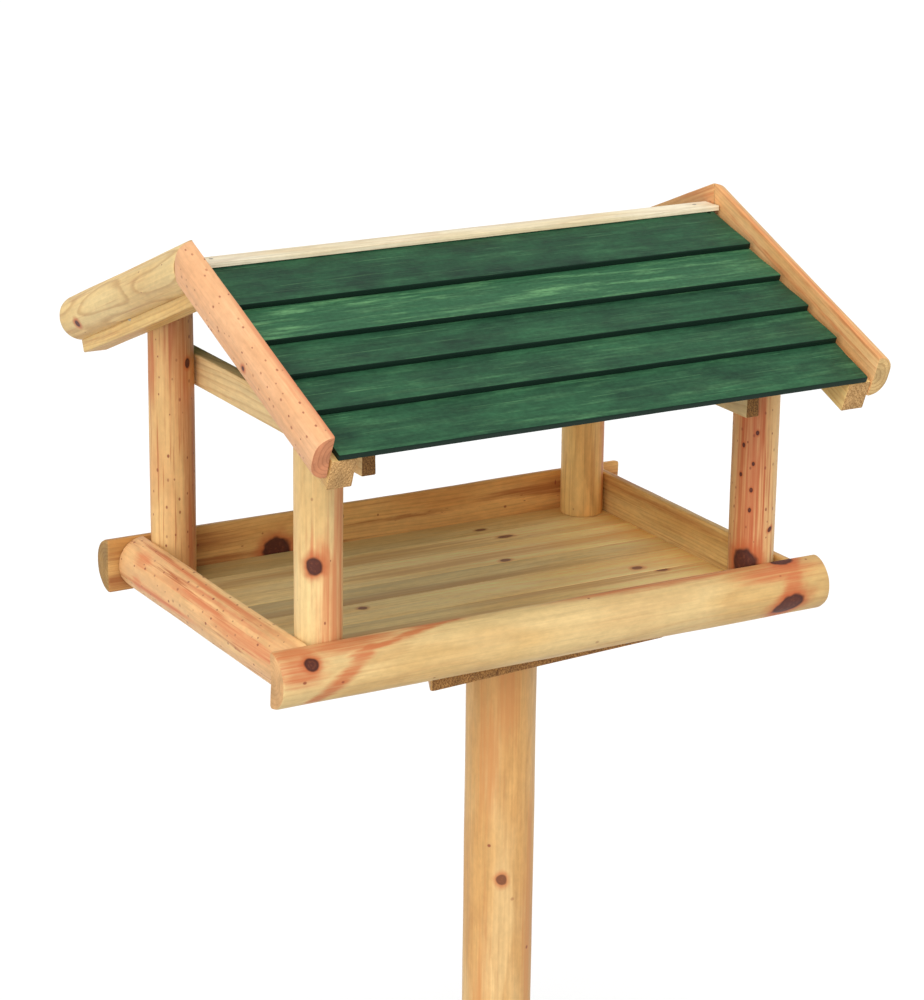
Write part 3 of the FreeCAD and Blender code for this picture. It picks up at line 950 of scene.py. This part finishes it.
def make_rafter(corner, peak, slope, side):
    node = "rafter_" + corner
    low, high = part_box(node)
    wood = Wood(pith=(30 * MM, 25 * MM))
    piece = slope_stick(node + "_batten", peak, slope, X * side, RAFTER_DROP + RAFTER_DEPTH / 2,
                        (low.x + high.x) / 2, board_section(high.x - low.x, RAFTER_DEPTH), wood,
                        ease=EASE, wave=0.25 * MM)
    finish_wood(piece, node, RAFTER_LOOK)


def make_tie_beams():
    """A beam across each gable, on the inner side of the posts."""
    for side_name in SIDES:
        node = "tie_beam_" + side_name
        low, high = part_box(node)
        middle = (low + high) / 2
        # the right beam's lower tone is painted shade
        wood = Wood(pith=(-28 * MM, 18 * MM), tone=TIE_PAINTED_SHADE[side_name])
        piece = stick(node + "_batten", (Vector((middle.x, low.y, middle.z)), Y, X), high.y - low.y,
                      board_section(high.x - low.x, high.z - low.z), wood, wave=0.2 * MM)
        finish_wood(piece, node, TIE_LOOK)


# How light each plank's stain came out, from the eaves up, and how much bare grain shows through it.
PLANK_STAINS = ((0.62, 0.30), (0.62, 0.28), (0.48, 0.15), (1.3, 1.0), (0.44, 0.12))


def make_planks():
    """Lapped roof planks: each lies on its rafters at the top and on the next plank at its lower edge."""
    for slope_name, slope in SLOPES.items():
        for number, (pale, wiped) in enumerate(PLANK_STAINS, start=1):
            node = "roof_plank_" + slope_name + "_" + str(number)
            low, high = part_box(node)
            upper, lower, square = plank_corners(low, high, slope)
            middle = (upper + lower) / 2 + square * PLANK_THICKNESS / 2
            down = (lower - upper).normalized()
            wood = Wood(pith=(10 * MM, -40 * MM))
            outline = board_section((lower - upper).length, PLANK_THICKNESS, 0.8 * MM)
            piece = stick(node + "_board", (Vector((low.x, middle.y, middle.z)), X, down), high.x - low.x,
                          outline, wood, wave=0.35 * MM, ease=0.9 * MM)
            mark_edges(piece, down)
            hand_over(piece, node, green_material(node + "_stain", pale, wiped))


def plank_corners(low, high, slope):
    """The upper and lower corners of a plank's base, and its upward direction, from its box."""
    tilt = plank_tilt(low, high)
    square = Vector((0, slope * math.sin(tilt), math.cos(tilt)))
    lower_y, upper_y = (high.y, low.y) if slope > 0 else (low.y, high.y)
    lower = Vector((0, lower_y - square.y * PLANK_THICKNESS, low.z))
    upper = Vector((0, upper_y, high.z - square.z * PLANK_THICKNESS))
    return upper, lower, square


def plank_tilt(low, high):
    """A plank's slope, found in steps.

    Its box is width * cos + thickness * sin deep, and width * sin + thickness * cos high.
    """
    depth, height = high.y - low.y, high.z - low.z
    tilt = ROOF_PITCH
    for _ in range(20):
        width = (depth - PLANK_THICKNESS * math.sin(tilt)) / math.cos(tilt)
        tilt = math.asin((height - PLANK_THICKNESS * math.cos(tilt)) / width)
    return tilt


def mark_edges(piece, across):
    """Stain is darkest on a plank's sawn edges, and painted shade darkens them further: they count as cut
    faces.
    """
    cut = piece.data.attributes["cut"]
    for face, value in zip(piece.data.polygons, cut.data):
        if abs(face.normal.dot(across)) > CUT_FACING:
            value.value = 1.0


def make_lath():
    """The flat lath over the planks' upper edges."""
    low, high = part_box("ridge_lath")
    middle = (low + high) / 2
    wood = Wood(pith=(5 * MM, -50 * MM))
    outline = board_section(high.y - low.y, high.z - low.z, 0.5 * MM)
    piece = stick("ridge_lath_strip", (Vector((low.x, middle.y, middle.z)), X, Y), high.x - low.x,
                  outline, wood, ease=0.5 * MM, wave=0.15 * MM)
    finish_wood(piece, "ridge_lath", LATH_LOOK)


# The floor's glued strips from front to rear: width in mm, and tone.
FLOOR_STRIPS = (
    (44, -0.02), (34, -0.16), (30, -0.06), (40, 0.08), (34, -0.14), (44, 0.10), (30, -0.02), (34, -0.20),
)
# Its browner bands of heartwood and its knots, in mm: x, y, half length, half width.
FLOOR_BANDS = (
    (-60, 168, 150, 12), (60, 128, 170, 9), (-30, 74, 190, 11), (90, 26, 120, 9), (-80, 2, 120, 8),
    (120, -40, 110, 10),
)
FLOOR_KNOTS = (
    (102, 168, 7, 3), (69, 112, 5, 3), (157, 43, 5, 3.5), (173, 29, 5, 3), (92, 194, 5, 2.5),
    (-96, 60, 4, 3), (-60, -20, 4, 3),
)


def make_floor():
    """The floor panel: edge-glued strips of slightly different tone, joined into one piece."""
    low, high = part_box("floor_panel")
    thickness = high.z - low.z
    scale = (high.y - low.y) / sum(width for width, tone in FLOOR_STRIPS)
    strips = []
    look = {**FLOOR_LOOK, "knots": [], "stains": []}
    near = low.y
    for number, (width, tone) in enumerate(FLOOR_STRIPS):
        far = near + width * scale
        middle = (near + far) / 2
        wood = Wood(pith=(15 * MM * math.sin(1.9 * number), -26 * MM - 9 * MM * (number % 3)), tone=tone)
        axes = (Vector((low.x, middle, low.z + thickness / 2)), X, Y)
        outline = board_section(far - near, thickness, 0.5 * MM)
        strips.append(stick("floor_strip", axes, high.x - low.x, outline, wood, ease=0.4 * MM, wave=0.12 * MM))
        for kind, spots in (("knots", FLOOR_KNOTS), ("stains", FLOOR_BANDS)):
            for x, y, length, half_width in spots:
                if near <= y * MM < far:
                    place = wood.place(x * MM - low.x, y * MM - middle, thickness / 2)
                    look[kind].append((place, (0, 0, 0), (length * MM, half_width * MM, half_width * MM)))
        near = far
    panel = joined("floor_panel_strips", strips)
    # painted shade towards the floor's left, painted light towards its right
    paint_shade_and_light_along(panel, FLOOR_PAINTED_SHADE)
    finish_wood(panel, "floor_panel", look)


def joined(name, parts):
    """Several meshes as one object."""
    with bpy.context.temp_override(active_object=parts[0], selected_editable_objects=parts):
        bpy.ops.object.join()
    parts[0].name = name
    return parts[0]


def make_plate():
    """The triangular support plate, grain from front to rear, so its front edge is end grain."""
    low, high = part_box("support_plate")
    reach = PLATE_SIDE / math.sqrt(3)
    angles = [math.radians(90 + PLATE_TURN + 120 * number) for number in range(3)]
    outline = eased([(reach * math.cos(a), reach * math.sin(a)) for a in angles], 2.5 * MM)
    wood = Wood(pith=(12 * MM, -30 * MM), grain="up")
    piece = stick("support_plate_board", (Vector((0, 0, low.z)), Z, X), high.z - low.z, outline, wood,
                  ease=0.8 * MM, wave=0.3 * MM)
    finish_wood(piece, "support_plate", PLATE_LOOK)


def make_pole():
    """The pole, with flats where the legs sit."""
    low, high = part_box("pole")
    radius = (high.x - low.x) / 2
    directions = [Vector((math.cos(math.radians(a)), math.sin(math.radians(a)))) for a in LEG_ANGLES.values()]

    def seats(along, across, up):
        if SEAT_SPAN[0] <= along <= SEAT_SPAN[1]:
            for direction in directions:
                excess = max(across * direction.x + up * direction.y - LEG_SEAT, 0.0)
                across -= direction.x * excess
                up -= direction.y * excess
        return along, across, up

    ledges = [edge + shift for edge in SEAT_SPAN for shift in (-0.3 * MM, 0.3 * MM)]
    wood = Wood(pith=(3 * MM, 2 * MM))
    piece = stick("pole_log", (Vector((0, 0, low.z)), Z, X), high.z - low.z, round_section(radius, 60), wood,
                  ease=2 * MM, wave=0.5 * MM, shape=seats, extra=ledges)
    finish_wood(piece, "pole", marked(POLE_LOOK, wood, radius))


def make_legs():
    """Three legs at 45 degrees, cut upright where they meet the pole and level where they stand."""
    for node, degrees in LEG_ANGLES.items():
        angle = math.radians(degrees)
        outward = Vector((math.cos(angle), math.sin(angle), 0))
        low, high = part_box(node)
        axis_height = high.z - LEG_RADIUS * math.sqrt(2)
        axes = (outward * LEG_SEAT + Z * axis_height, (outward - Z).normalized(), Z.cross(outward))
        wood = Wood(pith=(1 * MM, 1 * MM))
        piece = stick(node + "_log", axes, axis_height * math.sqrt(2), round_section(LEG_RADIUS), wood,
                      wave=0.4 * MM, ease=1.5 * MM, cuts=((0, -1), (0, 1)))
        drill_leg(piece, outward)
        knots = [Mark(150 + degrees / 6, 6, 5, angle=100), Mark(70, 5, 5, angle=-60)]
        look = marked({**LEG_LOOK, "knots": knots}, wood, LEG_RADIUS)
        finish_wood(piece, node, look)


DRILL_LENGTH = 100 * MM


def drill_leg(piece, outward):
    """Counterbores over the sunk heads of a leg's screws."""
    turn = Z.rotation_difference(outward).to_matrix().to_4x4()
    for height in LEG_SCREW_HEIGHTS:
        bpy.ops.mesh.primitive_cylinder_add(vertices=32, radius=COUNTERBORE_RADIUS, depth=DRILL_LENGTH)
        drill = bpy.context.active_object
        place = outward * (LEG_SCREW_HEAD + DRILL_LENGTH / 2) + Z * height
        drill.matrix_world = Matrix.Translation(place) @ turn
        bpy.context.view_layer.update()
        hole = piece.modifiers.new("counterbore", "BOOLEAN")
        hole.operation = "DIFFERENCE"
        hole.solver = "EXACT"
        hole.object = drill
        with bpy.context.temp_override(object=piece, active_object=piece):
            bpy.ops.object.modifier_apply(modifier=hole.name)
        bpy.data.objects.remove(drill)


ZINC = (linear(205, 200, 186), linear(160, 152, 136))
GREEN_STEEL = (linear(44, 84, 60), linear(24, 54, 38))


def finish_fasteners():
    """Screws and nails stay as they are in CAD, in plated steel, or stained over with the planks."""
    plated = steel_material("plated_steel", *ZINC)
    stained = steel_material("stained_steel", *GREEN_STEEL)
    for node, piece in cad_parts.items():
        if node.endswith(("_screws", "_nails")):
            piece.data.materials.clear()
            piece.data.materials.append(stained if node == "plank_nails" else plated)


# --- stage, light and camera
GROUND_HALF = 40.0
SKY_LIGHT = 0.66                 # the sky's brightness as a light
SKY_SEEN = 1.05                  # and as it is seen behind the floor


def make_stage():
    """A wide pale floor, a white sky and one broad soft light from the front left."""
    scene = bpy.context.scene
    scene.view_settings.view_transform = "Standard"
    scene.view_settings.look = "None"

    make_ground()
    make_sky()
    add_sun("key", strength=1.15, spread=40, direction=Vector((0.34, 0.75, -0.95)))
    add_sun("fill", strength=1.15, spread=50, direction=Vector((0.80, 0.62, -0.35)))


def make_ground():
    mesh = bpy.data.meshes.new("ground")
    half = GROUND_HALF
    corners = [(-half, -half, 0), (half, -half, 0), (half, half, 0), (-half, half, 0)]
    mesh.from_pydata(corners, [], [(0, 1, 2, 3)])
    ground = bpy.data.objects.new("ground", mesh)
    bpy.context.scene.collection.objects.link(ground)
    pale = Tree("pale_floor")
    pale.shader.inputs["Base Color"].default_value = (0.86, 0.86, 0.86, 1)
    pale.shader.inputs["Roughness"].default_value = 0.9
    pale.shader.inputs["Specular IOR Level"].default_value = 0.1
    pale.shader.inputs["Emission Color"].default_value = (1, 1, 1, 1)
    pale.shader.inputs["Emission Strength"].default_value = 0.18
    mesh.materials.append(pale.material)
    ground.visible_diffuse = False


def make_sky():
    world = bpy.data.worlds.new("studio")
    bpy.context.scene.world = world
    world.use_nodes = True
    nodes = world.node_tree.nodes
    sky = nodes["Background"]
    sky.inputs["Color"].default_value = (1.0, 1.0, 1.0, 1)
    seen = nodes.new("ShaderNodeLightPath").outputs["Is Camera Ray"]
    brightness = nodes.new("ShaderNodeMath")
    brightness.operation = "MULTIPLY_ADD"
    brightness.inputs[1].default_value = SKY_SEEN - SKY_LIGHT
    brightness.inputs[2].default_value = SKY_LIGHT
    world.node_tree.links.new(seen, brightness.inputs[0])
    world.node_tree.links.new(brightness.outputs[0], sky.inputs["Strength"])


def add_sun(name, strength, spread, direction):
    """A distant soft light that shines along a direction. Its spread is in degrees."""
    data = bpy.data.lights.new(name, "SUN")
    data.energy = strength
    data.angle = math.radians(spread)
    lamp = bpy.data.objects.new(name, data)
    lamp.rotation_mode = "QUATERNION"
    lamp.rotation_quaternion = direction.to_track_quat("-Z", "Y")
    bpy.context.scene.collection.objects.link(lamp)


CAMERA_YAW = math.radians(30.0)
CAMERA_PITCH = math.radians(17.38)
CAMERA_ROLL = math.radians(0.73)
CAMERA_PLACE = Vector((-1.2296, -2.0620, 1.7195))
CAMERA_LENS = 113.3


def make_camera():
    """Looks down on the feeder from the front left with a long lens."""
    data = bpy.data.cameras.new("camera")
    data.lens = CAMERA_LENS
    data.sensor_width = 36.0
    data.clip_start, data.clip_end = 0.05, 100.0
    camera = bpy.data.objects.new("camera", data)
    ahead = Vector((
        math.sin(CAMERA_YAW) * math.cos(CAMERA_PITCH),
        math.cos(CAMERA_YAW) * math.cos(CAMERA_PITCH),
        -math.sin(CAMERA_PITCH),
    ))
    level = ahead.cross(Z).normalized()
    above = level.cross(ahead)
    right = level * math.cos(CAMERA_ROLL) + above * math.sin(CAMERA_ROLL)
    above = right.cross(ahead)
    turn = Matrix((right, above, -ahead)).transposed()
    camera.matrix_world = Matrix.Translation(CAMERA_PLACE) @ turn.to_4x4()
    bpy.context.scene.collection.objects.link(camera)
    bpy.context.scene.camera = camera


make_camera()
make_stage()
make_rims()
make_posts()
make_roof_frame()
make_tie_beams()
make_planks()
make_lath()
make_floor()
make_plate()
make_pole()
make_legs()
finish_fasteners()
